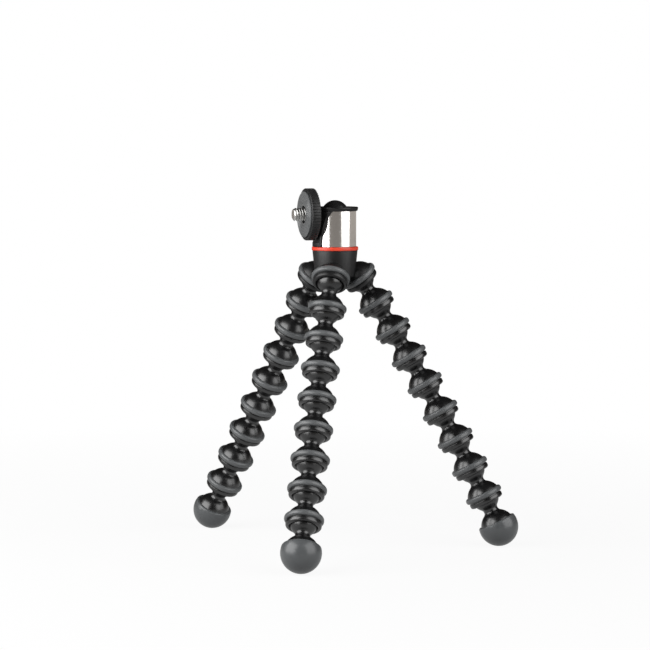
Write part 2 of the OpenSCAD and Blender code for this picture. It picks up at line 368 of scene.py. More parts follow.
class Skins:
    """Shader node groups that several finishes place with their own values."""

    @staticmethod
    def _group(name: str, inputs: dict[str, float],
               outputs: list[str]) -> tuple[Board, bpy.types.Node, bpy.types.Node]:
        """Starts a group with float sockets.

        Args:
            name: The group's name.
            inputs: Input names and defaults.
            outputs: Output names.

        Returns:
            The group's board, its input node and its output node.
        """
        tree = bpy.data.node_groups.new(name, "ShaderNodeTree")
        for label, value in inputs.items():
            socket = tree.interface.new_socket(label, in_out="INPUT", socket_type="NodeSocketFloat")
            socket.default_value = value
        for label in outputs:
            tree.interface.new_socket(label, in_out="OUTPUT", socket_type="NodeSocketFloat")
        board = Board(tree)
        return board, board.add("NodeGroupInput"), board.add("NodeGroupOutput")

    @staticmethod
    def moulded() -> bpy.types.NodeTree:
        """Fine grain of a moulded surface and broad patches of handling.

        Returns:
            The group.
        """
        found = bpy.data.node_groups.get("moulded_skin")
        if found:
            return found
        board, given, out = Skins._group("moulded_skin", {"Grain Scale": 2500.0, "Patch Scale": 140.0},
                                         ["Grain", "Patches"])
        place = board.add("ShaderNodeTexCoord").outputs["Object"]
        grain = board.add("ShaderNodeTexNoise")
        grain.inputs["Detail"].default_value = 3.0
        grain.inputs["Roughness"].default_value = 0.6
        patches = board.add("ShaderNodeTexNoise")
        patches.inputs["Detail"].default_value = 5.0
        patches.inputs["Roughness"].default_value = 0.62
        for node, label in ((grain, "Grain Scale"), (patches, "Patch Scale")):
            board.join(place, node.inputs["Vector"])
            board.join(given.outputs[label], node.inputs["Scale"])
        board.join(grain.outputs["Fac"], out.inputs["Grain"])
        board.join(board.spread(patches.outputs["Fac"], 0.0, 1.0, 0.3, 0.7), out.inputs["Patches"])
        return board.tree

    @staticmethod
    def worn_edges() -> bpy.types.NodeTree:
        """Mask of the convex edges that hands and floors rub.

        Returns:
            The group.
        """
        found = bpy.data.node_groups.get("worn_edges")
        if found:
            return found
        board, given, out = Skins._group("worn_edges", {"Start": 0.52, "End": 0.62, "Break Scale": 900.0}, ["Wear"])
        edge = board.add("ShaderNodeMapRange")
        board.join(board.add("ShaderNodeNewGeometry").outputs["Pointiness"], edge.inputs["Value"])
        board.join(given.outputs["Start"], edge.inputs["From Min"])
        board.join(given.outputs["End"], edge.inputs["From Max"])
        breaks = board.add("ShaderNodeTexNoise")
        breaks.inputs["Detail"].default_value = 4.0
        board.join(board.add("ShaderNodeTexCoord").outputs["Object"], breaks.inputs["Vector"])
        board.join(given.outputs["Break Scale"], breaks.inputs["Scale"])
        both = board.add("ShaderNodeMath", operation="MULTIPLY", use_clamp=True)
        board.join(edge.outputs["Result"], both.inputs[0])
        board.join(board.spread(breaks.outputs["Fac"], 0.0, 1.0, 0.4, 0.6), both.inputs[1])
        board.join(both.outputs[0], out.inputs["Wear"])
        return board.tree

    @staticmethod
    def turned() -> bpy.types.NodeTree:
        """Fine lines left by turning and polishing round the upright axis.

        Returns:
            The group.
        """
        found = bpy.data.node_groups.get("turned_lines")
        if found:
            return found
        board, given, out = Skins._group("turned_lines", {"Line Scale": 1.0}, ["Lines"])
        stretch = board.add("ShaderNodeMapping")
        stretch.inputs["Scale"].default_value = (60.0, 60.0, 9000.0)
        board.join(board.add("ShaderNodeTexCoord").outputs["Object"], stretch.inputs["Vector"])
        lines = board.add("ShaderNodeTexNoise")
        lines.inputs["Detail"].default_value = 2.0
        board.join(stretch.outputs["Vector"], lines.inputs["Vector"])
        board.join(given.outputs["Line Scale"], lines.inputs["Scale"])
        board.join(lines.outputs["Fac"], out.inputs["Lines"])
        return board.tree


@dataclass(frozen=True)
class Moulding:
    """A moulded plastic or rubber, with grain, handling patches and rubbed edges."""

    name: str
    colour: Colour
    handled: Colour
    rubbed: Colour
    roughness: tuple[float, float]
    grain_scale: float
    grain_depth: float
    patch_scale: float = 140.0
    specular: float = 0.5

    def material(self) -> bpy.types.Material:
        """Makes the material, or finds it when it is made already.

        Returns:
            The material.
        """
        found = bpy.data.materials.get(self.name)
        if found:
            return found
        made = bpy.data.materials.new(self.name)
        made.use_nodes = True
        board = Board(made.node_tree)
        shader = made.node_tree.nodes["Principled BSDF"]
        shader.inputs["Specular IOR Level"].default_value = self.specular
        skin = board.add("ShaderNodeGroup", node_tree=Skins.moulded())
        skin.inputs["Grain Scale"].default_value = self.grain_scale
        skin.inputs["Patch Scale"].default_value = self.patch_scale
        wear = board.add("ShaderNodeGroup", node_tree=Skins.worn_edges())
        tint = board.add("ShaderNodeMix", data_type="RGBA")
        tint.inputs["A"].default_value = (*self.colour, 1.0)
        tint.inputs["B"].default_value = (*self.handled, 1.0)
        board.join(skin.outputs["Patches"], tint.inputs["Factor"])
        edge = board.add("ShaderNodeMix", data_type="RGBA")
        board.join(tint.outputs["Result"], edge.inputs["A"])
        edge.inputs["B"].default_value = (*self.rubbed, 1.0)
        board.join(wear.outputs["Wear"], edge.inputs["Factor"])
        board.join(edge.outputs["Result"], shader.inputs["Base Color"])
        board.join(board.spread(skin.outputs["Patches"], *self.roughness), shader.inputs["Roughness"])
        bump = board.add("ShaderNodeBump")
        bump.inputs["Distance"].default_value = self.grain_depth * MM
        board.join(skin.outputs["Grain"], bump.inputs["Height"])
        board.join(bump.outputs["Normal"], shader.inputs["Normal"])
        return made


@dataclass(frozen=True)
class Metal:
    """A turned metal, polished or plated, with fine lines round its axis."""

    name: str
    colour: Colour
    clouded: Colour
    roughness: tuple[float, float]
    line_depth: float
    patch_scale: float = 160.0

    def material(self) -> bpy.types.Material:
        """Makes the material, or finds it when it is made already.

        Returns:
            The material.
        """
        found = bpy.data.materials.get(self.name)
        if found:
            return found
        made = bpy.data.materials.new(self.name)
        made.use_nodes = True
        board = Board(made.node_tree)
        shader = made.node_tree.nodes["Principled BSDF"]
        shader.inputs["Metallic"].default_value = 1.0
        skin = board.add("ShaderNodeGroup", node_tree=Skins.moulded())
        skin.inputs["Patch Scale"].default_value = self.patch_scale
        lines = board.add("ShaderNodeGroup", node_tree=Skins.turned())
        tint = board.add("ShaderNodeMix", data_type="RGBA")
        tint.inputs["A"].default_value = (*self.colour, 1.0)
        tint.inputs["B"].default_value = (*self.clouded, 1.0)
        board.join(skin.outputs["Patches"], tint.inputs["Factor"])
        board.join(tint.outputs["Result"], shader.inputs["Base Color"])
        board.join(board.spread(lines.outputs["Lines"], *self.roughness, 0.3, 0.7), shader.inputs["Roughness"])
        bump = board.add("ShaderNodeBump")
        bump.inputs["Distance"].default_value = self.line_depth * MM
        board.join(lines.outputs["Lines"], bump.inputs["Height"])
        board.join(bump.outputs["Normal"], shader.inputs["Normal"])
        return made


LINK_PLASTIC = Moulding("gloss_black_plastic", (0.003, 0.003, 0.0032), (0.005, 0.005, 0.0055), (0.022, 0.022, 0.023),
                        (0.25, 0.33), 1400.0, 0.003, specular=0.9)
GRIP_RUBBER = Moulding("ring_rubber", (0.1, 0.105, 0.108), (0.116, 0.121, 0.124), (0.145, 0.15, 0.153),
                       (0.32, 0.4), 3800.0, 0.004, specular=0.6)
FOOT_RUBBER = Moulding("foot_rubber", (0.088, 0.093, 0.096), (0.1, 0.105, 0.108), (0.125, 0.13, 0.133),
                       (0.27, 0.34), 3800.0, 0.004, specular=0.55)
HUB_PLASTIC = Moulding("satin_black_plastic", (0.004, 0.004, 0.0043), (0.0065, 0.0065, 0.007), (0.03, 0.03, 0.031),
                       (0.36, 0.46), 2600.0, 0.006)
DISC_PLASTIC = Moulding("matte_black_plastic", (0.006, 0.006, 0.0063), (0.009, 0.009, 0.0095), (0.035, 0.035, 0.036),
                        (0.42, 0.52), 3000.0, 0.01)
ACCENT_RED = Moulding("red_plastic", (0.76, 0.05, 0.022), (0.82, 0.07, 0.031), (0.86, 0.14, 0.085),
                      (0.3, 0.4), 2200.0, 0.004)
CUP_NYLON = Moulding("natural_nylon", (0.66, 0.64, 0.58), (0.7, 0.68, 0.62), (0.75, 0.73, 0.68),
                     (0.45, 0.55), 2400.0, 0.01)
BALL_BLACK = Moulding("black_anodised", (0.01, 0.01, 0.0105), (0.014, 0.014, 0.0145), (0.1, 0.1, 0.1),
                      (0.24, 0.32), 3200.0, 0.004)
SLEEVE_STEEL = Metal("polished_steel", (0.80, 0.785, 0.765), (0.76, 0.745, 0.73), (0.12, 0.2), 0.00015)
SCREW_STEEL = Metal("plated_steel", (0.66, 0.655, 0.64), (0.6, 0.595, 0.58), (0.2, 0.32), 0.002)


class Store:
    """Hands finished pieces over to the frame."""

    @staticmethod
    def settle(piece: bpy.types.Object, body: str, slot: str, finish: Moulding | Metal, *nodes: str) -> None:
        """Dresses a piece, lets it ride on its body and reports it.

        Args:
            piece: The finished mesh.
            body: The body that it moves with.
            slot: The record's material slot that its finish belongs to; not used.
            finish: The finish.
            nodes: CAD nodes that it stands for.
        """
        piece.data.materials.clear()
        piece.data.materials.append(finish.material())
        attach(piece, body)
        if nodes:
            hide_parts(*nodes)
        LOG.info("%s: %d faces, on %s", piece.name, len(piece.data.polygons), body)

    @staticmethod
    def dress(node: str, finish: Moulding | Metal) -> None:
        """Gives a CAD node that stays a better finish."""
        mesh = frame["nodes"][node].data
        mesh.materials.clear()
        mesh.materials.append(finish.material())
        LOG.info("%s: CAD node, dressed", node)


class Layout:
    """Where the joints are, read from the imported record."""

    def __init__(self, joints: list[dict]) -> None:
        """Keeps each joint's place and axis.

        Args:
            joints: The frame's joints.
        """
        self.at = {joint["name"]: Vector(joint["pos_m"]) for joint in joints}
        self.axis = {joint["name"]: Vector(joint["axis"]) for joint in joints}

    def ball(self, leg: Leg, index: int) -> Vector:
        """Centre of a leg's ball, in metres.

        Args:
            leg: The leg.
            index: Number of the ball from the hub, from 1. The one past the last link is the foot's.

        Returns:
            The centre.
        """
        return self.at.get(f"{leg.value}_bend_{index}", self.at[f"{leg.value}_foot_bend"])

    @staticmethod
    def hang(top: Vector, down: Vector) -> Matrix:
        """Place whose origin is a ball's centre and whose -Z points down the leg.

        Args:
            top: The ball's centre.
            down: Unit direction down the leg.

        Returns:
            The place.
        """
        heading = math.atan2(down.x, -down.y)
        across = Vector((math.cos(heading), math.sin(heading), 0))
        up = -down
        turn = Matrix((across, up.cross(across), up)).transposed()
        return Matrix.Translation(top) @ turn.to_4x4()


@dataclass
class Joint:
    """Sizes of the ball joint that hub, links and feet share."""

    ball: float = 6.55
    cavity: float = 6.67
    dome: float = 8.42
    neck: float = 3.55
    pitch: float = 15.3
    lip: float = 8.37
    lip_top: float = -0.2
    lip_round: float = 1.1
    lip_edge: float = 0.25
    mouth: float = 6.9725
    mouth_drop: float = 2.5
    mouth_edge: float = 0.12
    snap: float = 6.4225
    snap_drop: float = 1.8
    groove: float = 7.97
    grip: float = 9.25
    grip_seat: float = 7.3666
    grip_foot: float = 0.2
    grip_head: float = 3.0
    grip_round: float = 1.1
    gap: float = 0.03

    def waist(self, dome: float) -> tuple[float, float, float]:
        """Arc that touches the ball, the neck and a dome.

        Args:
            dome: Radius of the dome below the neck.

        Returns:
            The arc's radius, its centre's distance from the axis and its centre's height.
        """
        slope = (dome - self.ball) / self.pitch
        base = (self.pitch ** 2 - (dome - self.ball) * (dome + self.ball)) / (2 * self.pitch)
        b = 2 * (self.ball + base * slope - self.neck)
        c = self.neck ** 2 + base ** 2 - self.ball ** 2
        arc = 2 * c / (b + math.sqrt(b * b - 4 * slope * slope * c))
        return arc, self.neck + arc, slope * arc - base

    def ball_and_waist(self, name: str, dome: float) -> Outline:
        """Draws a ball from its top, its waist and the first point of a dome.

        Args:
            name: Name of the piece.
            dome: Radius of the dome.

        Returns:
            The outline, at the dome's start.
        """
        arc, x, z = self.waist(dome)
        to_centre = math.degrees(math.atan2(z, x))
        to_dome = math.degrees(math.atan2(-self.pitch - z, -x)) % 360
        pen = Outline(name, 0, self.ball)
        pen.arc(0, 0, to_centre - 90, 26)
        return pen.arc(x, z, to_dome - (to_centre + 180), 14)

    def dome_to_grip(self, pen: Outline, centre: float, steps: int = 12) -> Outline:
        """Draws a dome down to its grip ring and the ring's seat.

        Args:
            pen: The outline, on the dome.
            centre: Height of the cup's centre.
            steps: Edges along the dome.

        Returns:
            The outline, at the seat's foot.
        """
        now = math.degrees(math.atan2(pen.z - centre, pen.x))
        edge = math.degrees(math.asin(self.grip_head / self.dome))
        pen.arc(0, centre, edge - now, steps)
        pen.line(self.grip_seat, centre + self.grip_head)
        return pen.line(self.grip_seat, centre + self.grip_foot)

    def lip_bead(self, pen: Outline, centre: float) -> Outline:
        """Draws the groove and the lip bead round a cup's mouth.

        Args:
            pen: The outline, at the seat's foot.
            centre: Height of the cup's centre.

        Returns:
            The outline, on the mouth's face.
        """
        top, foot = centre + self.lip_top, centre - self.mouth_drop
        pen.line(self.groove, centre + self.grip_foot)
        pen.line(self.groove, top)
        pen.corner(self.lip, top, self.lip_edge, self.lip, foot, 3)
        pen.corner(self.lip, foot, self.lip_round, self.mouth, foot, 5)
        return pen

    def hollow(self, pen: Outline, centre: float) -> Outline:
        """Draws a cup's mouth and hollow up to the axis.

        Args:
            pen: The outline, on the mouth's face.
            centre: Height of the cup's centre.

        Returns:
            The outline, closed on the axis.
        """
        pen.corner(self.mouth, centre - self.mouth_drop, self.mouth_edge, self.snap, centre - self.snap_drop, 3)
        pen.line(self.snap, centre - self.snap_drop)
        low = math.degrees(math.asin(self.snap_drop / self.cavity))
        pen.arc(0, centre, 90 + low, 16)
        return pen.line(0, centre + self.cavity)

    def grip_ring(self, name: str, centre: float) -> bpy.types.Object:
        """Turns a rubber grip ring.

        Args:
            name: Name of the ring.
            centre: Height of the cup's centre.

        Returns:
            The ring.
        """
        inner = self.grip_seat + self.gap
        foot, head = centre + self.grip_foot + self.gap, centre + self.grip_head - self.gap
        pen = Outline(name, inner, foot)
        pen.corner(self.grip, foot, self.grip_round, self.grip, head, 6)
        pen.corner(self.grip, head, self.grip_round, inner, head, 6)
        pen.line(inner, head)
        pen.home()
        return pen.spun()


@dataclass
class BendyLeg:
    """A leg of links and grip rings that ends in a round foot."""

    leg: Leg
    layout: Layout
    joint: Joint = field(default_factory=Joint)
    links: int = 8
    foot: float = 9.55
    stud: float = 8.4
    sole_rise: float = 2.8
    sole_round: float = 0.6

    def link_core(self) -> bpy.types.Object:
        """Turns one link: ball, waist, dome, ring seat, lip bead and hollow.

        Returns:
            The pattern link, hung from its ball.
        """
        cup = -self.joint.pitch
        pen = self.joint.ball_and_waist("link_pattern", self.joint.dome)
        self.joint.dome_to_grip(pen, cup)
        self.joint.lip_bead(pen, cup)
        self.joint.hollow(pen, cup)
        return pen.spun()

    def foot_stud(self) -> bpy.types.Object:
        """Turns the plastic stud that carries a sole.

        Returns:
            The stud, hung from its ball.
        """
        cup = -self.joint.pitch
        pen = self.joint.ball_and_waist(f"{self.leg.value}_foot_stud", self.stud)
        now = math.degrees(math.atan2(pen.z - cup, pen.x))
        pen.arc(0, cup, -90 - now, 30)
        pen.line(0, cup - self.stud)
        return pen.spun()

    def foot_sole(self) -> bpy.types.Object:
        """Turns the rubber sole with its rolled edge.

        Returns:
            The sole, hung from the foot's ball.
        """
        cup = -self.joint.pitch
        inner = self.stud + self.joint.gap
        edge_z = self.sole_rise - self.sole_round
        edge_x = math.sqrt((self.foot - self.sole_round) ** 2 - edge_z ** 2)
        tangent = math.degrees(math.atan2(edge_z, edge_x))
        meet = math.sqrt(inner ** 2 - self.sole_rise ** 2)
        pen = Outline(f"{self.leg.value}_foot_sole", 0, cup - self.foot)
        pen.arc(0, cup, 90 + tangent, 40)
        pen.arc(edge_x, cup + edge_z, 90 - tangent, 6)
        pen.line(meet, cup + self.sole_rise)
        low = math.degrees(math.atan2(self.sole_rise, meet))
        pen.arc(0, cup, -90 - low, 24)
        pen.line(0, cup - inner)
        return pen.spun()

    def toe_place(self, top: Vector, before: Vector) -> Matrix:
        """Place of the foot: hung from its ball with its sole on the floor.

        Args:
            top: Centre of the foot's ball.
            before: Centre of the ball above it.

        Returns:
            The place.
        """
        heading = Vector((0, 0, 1)).cross(self.layout.axis[f"{self.leg.value}_foot_bend"]).normalized()
        if heading.dot(top - before) < 0:
            heading.negate()
        drop = (top.z / MM - self.foot) / self.joint.pitch
        down = heading * math.sqrt(1 - drop * drop) + Vector((0, 0, -drop))
        return Layout.hang(top, down)

    def build(self, core: bpy.types.Object, ring: bpy.types.Object) -> None:
        """Copies the links and rings down the leg and sets the foot.

        Args:
            core: The pattern link.
            ring: The pattern grip ring.
        """
        side = self.leg.value
        balls = [self.layout.ball(self.leg, i) for i in range(1, self.links + 2)]
        for i in range(1, self.links + 1):
            place = Layout.hang(balls[i - 1], (balls[i] - balls[i - 1]).normalized())
            body = f"{side}_leg_{i}"
            link = Bench.copy(core, f"{side}_link_{i}_moulding", place)
            Store.settle(link, body, "link_plastic", LINK_PLASTIC, f"{side}_link_{i}")
            grip = Bench.copy(ring, f"{side}_grip_{i}_ring", place)
            Store.settle(grip, body, "grip_rubber", GRIP_RUBBER, f"{side}_grip_{i}")
        toe = self.toe_place(balls[-1], balls[-2])
        stud = Bench.place(self.foot_stud(), toe)
        Store.settle(stud, f"{side}_toe", "link_plastic", LINK_PLASTIC, f"{side}_foot")
        sole = Bench.place(self.foot_sole(), toe)
        Store.settle(sole, f"{side}_toe", "sole_rubber", FOOT_RUBBER, f"{side}_foot")


@dataclass
class Hub:
    """The moulded hub: tapered cup, post, three sockets and their grip rings."""

    layout: Layout
    joint: Joint = field(default_factory=Joint)
    lean: float = 38.0
    rise: float = 14.0
    top: float = 10.9
    top_edge: float = 0.25
    waist: float = 9.6
    waist_rise: float = 1.6
    floor_drop: float = 2.183
    floor: float = 4.425
    post: float = 7.0
    post_drop: float = 8.42
    accent: float = 11.2
    accent_height: float = 1.7
    accent_foot_edge: float = 0.3
    accent_head_edge: float = 0.45
    past: float = 1.0

    def socket_place(self, leg: Leg) -> Matrix:
        """Place of a socket, with -Z out of its mouth."""
        at = self.layout.ball(leg, 1)
        out = Vector((at.x, at.y, 0)).normalized()
        lean = math.radians(self.lean)
        return Layout.hang(at, out * math.sin(lean) - Vector((0, 0, math.cos(lean))))

    def level(self) -> float:
        """Height of the socket centres."""
        return self.layout.ball(Leg.FRONT, 1).z / MM

    def cup(self) -> bpy.types.Object:
        """Turns the tapered cup with the post on top.

        Returns:
            The cup.
        """
        level = self.level()
        head = level + self.rise
        pen = Outline("hub_moulding", 0, level - self.floor_drop)
        pen.line(self.floor, level - self.floor_drop)
        pen.line(self.waist, level + self.waist_rise)
        pen.corner(self.top, head, self.top_edge, self.post, head, 4)
        pen.line(self.post, head)
        post_top = self.layout.at["ball_tilt"].z / MM - self.post_drop
        pen.line(self.post, post_top)
        pen.line(0, post_top)
        return pen.spun(128)

    def socket(self) -> bpy.types.Object:
        """Turns the outside of one socket, filled.

        Returns:
            The socket, round its ball's centre.
        """
        pen = Outline("socket_tool", 0, self.joint.dome)
        self.joint.dome_to_grip(pen, 0, 20)
        self.joint.lip_bead(pen, 0)
        pen.line(0, -self.joint.mouth_drop)
        return pen.spun()

    def hollow(self) -> bpy.types.Object:
        """Turns the solid that clears one socket's mouth and hollow.

        Returns:
            The solid.
        """
        foot = -self.joint.mouth_drop - self.past
        pen = Outline("hollow_tool", 0, foot)
        pen.line(self.joint.mouth, foot)
        self.joint.hollow(pen, 0)
        return pen.spun()

    def build(self) -> None:
        """Builds the hub, its rings and the accent ring."""
        body = self.cup()
        places = [self.socket_place(leg) for leg in Leg]
        for place in places:
            Bench.combine(body, Bench.place(self.socket(), place), Cut.ADD)
        for place in places:
            Bench.combine(body, Bench.place(self.hollow(), place), Cut.REMOVE)
        Bench.close(body, 32)
        Store.settle(body, "hub", "hub_plastic", HUB_PLASTIC, "hub_body")
        ring = self.joint.grip_ring("hub_ring_pattern", 0)
        for leg, place in zip(Leg, places):
            grip = Bench.copy(ring, f"hub_grip_{leg.value}", place)
            Store.settle(grip, "hub", "grip_rubber", GRIP_RUBBER, "hub_grip_rings")
        bpy.data.objects.remove(ring)
        Store.settle(self.accent_band(), "hub", "accent_red", ACCENT_RED, "accent_ring")

    def accent_band(self) -> bpy.types.Object:
        """Turns the thin red ring on the hub's top.

        Returns:
            The ring.
        """
        foot = self.level() + self.rise
        head = foot + self.accent_height
        inner = self.post + self.joint.gap
        pen = Outline("accent_band", inner, foot)
        pen.corner(self.accent, foot, self.accent_foot_edge, self.accent, head, 4)
        pen.corner(self.accent, head, self.accent_head_edge, inner, head, 5)
        pen.line(inner, head)
        pen.home()
        return pen.spun(128)


@dataclass
class BallHead:
    """The turning collar: core with rim, notch and cheek, steel sleeve, and the ball with its stem."""

    layout: Layout
    sleeve: float = 10.2
    sleeve_height: float = 17.1
    sleeve_wall: float = 0.6
    sleeve_edge: float = 0.12
    core: float = 9.57
    bore: float = 7.1
    seat: float = 6.82
    rim: float = 11.3
    rim_taper: float = 0.5
    rim_height: float = 1.9
    rim_foot_edge: float = 0.2
    rim_head_edge: float = 0.45
    rim_bore: float = 6.0
    rim_bore_edge: float = 0.25
    drop: float = 3.5
    notch: float = 3.1
    flat: float = 9.5
    cheek: float = 10.9
    cheek_edge: float = 0.3
    cutout: float = 6.0
    cutout_arc: float = 45.0
    ball: float = 6.7
    stem: float = 2.7
    stem_end: float = 12.6
    stem_edge: float = 0.25
    stem_fillet: float = 0.6
    gap: float = 0.03
    past: float = 1.0

    def centre(self) -> float:
        """Height of the ball's centre."""
        return self.layout.at["ball_tilt"].z / MM

    @property
    def foot(self) -> float:
        """Height of the collar's foot."""
        return self.centre() + self.drop - self.rim_height - self.sleeve_height

    def heading(self) -> Matrix:
        """Turn that takes -Y to the notch's side."""
        way = self.layout.axis["disc_spin"]
        return Matrix.Rotation(math.atan2(way.x, -way.y), 4, "Z")

    def lifted(self, height: float) -> Matrix:
        """Place on the notch's side at a height."""
        return Matrix.Translation((0, 0, height * MM)) @ self.heading()

    def cutout_prism(self, gap: float) -> bpy.types.Object:
        """Extrudes the sleeve's cut-out, from the axis out through the notch's side.

        Args:
            gap: Amount by which the prism is narrower than the cut-out on each side.

        Returns:
            The prism.
        """
        arc, far = self.cutout_arc, self.cutout - gap + self.cutout_arc
        low = math.degrees(math.asin(self.past / arc))
        high = math.degrees(math.asin((self.sleeve_height + self.past) / arc))
        start = far - arc * math.cos(math.radians(low))
        pen = Outline("cutout_tool", -start, -self.past)
        pen.arc(-far, 0, low + high, 16)
        pen.line(-pen.x, pen.z)
        pen.arc(far, 0, low + high, 16)
        pen.home()
        return Bench.place(pen.extruded(2 * self.sleeve), self.lifted(self.foot))

    def tube(self, name: str, outer: float, inner: float, foot: float, head: float, edge: float) -> bpy.types.Object:
        """Turns a tube with rounded edges.

        Args:
            name: Name of the tube.
            outer: Outer radius.
            inner: Inner radius.
            foot: Height of its foot.
            head: Height of its head.
            edge: Rounding of its outer edges.

        Returns:
            The tube.
        """
        pen = Outline(name, inner, foot)
        pen.corner(outer, foot, edge, outer, head, 3)
        pen.corner(outer, head, edge, inner, head, 3)
        pen.line(inner, head)
        pen.home()
        return pen.spun(128)

    def steel_sleeve(self) -> bpy.types.Object:
        """Turns the sleeve and cuts it away at the notch.

        Returns:
            The sleeve.
        """
        tube = self.tube("sleeve_shell", self.sleeve, self.sleeve - self.sleeve_wall, self.foot,
                         self.foot + self.sleeve_height, self.sleeve_edge)
        Bench.combine(tube, self.cutout_prism(0), Cut.REMOVE)
        return Bench.even(Bench.close(tube, 30))

    def cheek_block(self) -> bpy.types.Object:
        """Makes the cheek that fills the sleeve's cut-out.

        Returns:
            The cheek.
        """
        block = self.tube("cheek_tool", self.cheek, (self.core + self.bore) / 2, self.foot,
                          self.foot + self.sleeve_height, self.cheek_edge)
        return Bench.combine(block, self.cutout_prism(self.gap), Cut.KEEP)

    def notch_slot(self) -> bpy.types.Object:
        """Extrudes the slot that the stem drops through.

        Returns:
            The slot.
        """
        top = self.drop + self.past
        pen = Outline("slot_tool", -self.notch, top)
        pen.line(-self.notch, 0)
        pen.arc(0, 0, 180, 24)
        pen.line(self.notch, top)
        pen.home()
        return Bench.place(pen.extruded(2 * self.rim), self.lifted(self.centre()))

    def relief(self, disc: float) -> bpy.types.Object:
        """Makes the block that cuts the flat which clears the disc.

        Args:
            disc: Radius of the disc.

        Returns:
            The block.
        """
        low = -disc - self.past
        high = self.drop + self.past
        pen = Outline("relief_tool", -2 * self.rim, low)
        pen.line(2 * self.rim, low)
        pen.line(2 * self.rim, high)
        pen.line(-2 * self.rim, high)
        pen.home()
        block = Bench.place(pen.extruded(2 * self.rim), Matrix.Translation((0, -self.flat * MM, 0)))
        return Bench.place(block, self.lifted(self.centre()))

    def core_moulding(self, disc: float) -> bpy.types.Object:
        """Turns the core with its rim, adds the cheek and cuts the notch and the flat.

        Args:
            disc: Radius of the disc that the flat clears.

        Returns:
            The core.
        """
        centre = self.centre()
        shoulder = self.foot + self.sleeve_height
        head = shoulder + self.rim_height
        meet = math.sqrt(self.seat ** 2 - self.rim_bore ** 2)
        pen = Outline("core_moulding", self.bore, self.foot)
        pen.line(self.core, self.foot)
        pen.line(self.core, shoulder + self.gap)
        pen.corner(self.rim - self.rim_taper, shoulder + self.gap, self.rim_foot_edge, self.rim, head, 3)
        pen.corner(self.rim, head, self.rim_head_edge, self.rim_bore, head, 5)
        pen.corner(self.rim_bore, head, self.rim_bore_edge, self.rim_bore, centre + meet, 4)
        pen.line(self.rim_bore, centre + meet)
        pen.arc(0, centre, -math.degrees(math.asin(meet / self.seat)), 8)
        pen.line(self.bore, centre)
        pen.home()
        core = pen.spun(128)
        Bench.combine(core, self.cheek_block(), Cut.ADD)
        Bench.combine(core, self.notch_slot(), Cut.REMOVE)
        Bench.combine(core, self.relief(disc), Cut.REMOVE)
        return Bench.close(core, 30)

    def stem_place(self) -> Matrix:
        """Place at the ball's centre with +Z along the stem."""
        way = self.layout.axis["disc_spin"]
        return Matrix.Translation(self.layout.at["ball_tilt"]) @ way.to_track_quat("Z", "Y").to_matrix().to_4x4()

    def ball_with_stem(self) -> bpy.types.Object:
        """Turns the ball with a filleted stem.

        Returns:
            The ball with its stem.
        """
        x = self.stem + self.stem_fillet
        z = math.sqrt((self.ball + self.stem_fillet) ** 2 - x ** 2)
        touch = math.degrees(math.atan2(z, x))
        pen = Outline("ball_and_stem", 0, -self.ball)
        pen.arc(0, 0, 90 + touch, 36)
        pen.arc(x, z, -touch, 5)
        pen.corner(self.stem, self.stem_end, self.stem_edge, 0, self.stem_end, 3)
        pen.line(0, self.stem_end)
        return Bench.place(pen.spun(), self.stem_place())

    def build(self, disc: float) -> None:
        """Builds the head's pieces.

        Args:
            disc: Radius of the camera disc.
        """
        Store.settle(self.steel_sleeve(), "collar", "sleeve_steel", SLEEVE_STEEL, "steel_sleeve")
        Store.settle(self.core_moulding(disc), "collar", "head_plastic", HUB_PLASTIC, "head_core")
        Store.settle(self.ball_with_stem(), "ball", "ball_black", BALL_BLACK, "ball_stem")
        Store.dress("pressure_cup", CUP_NYLON)


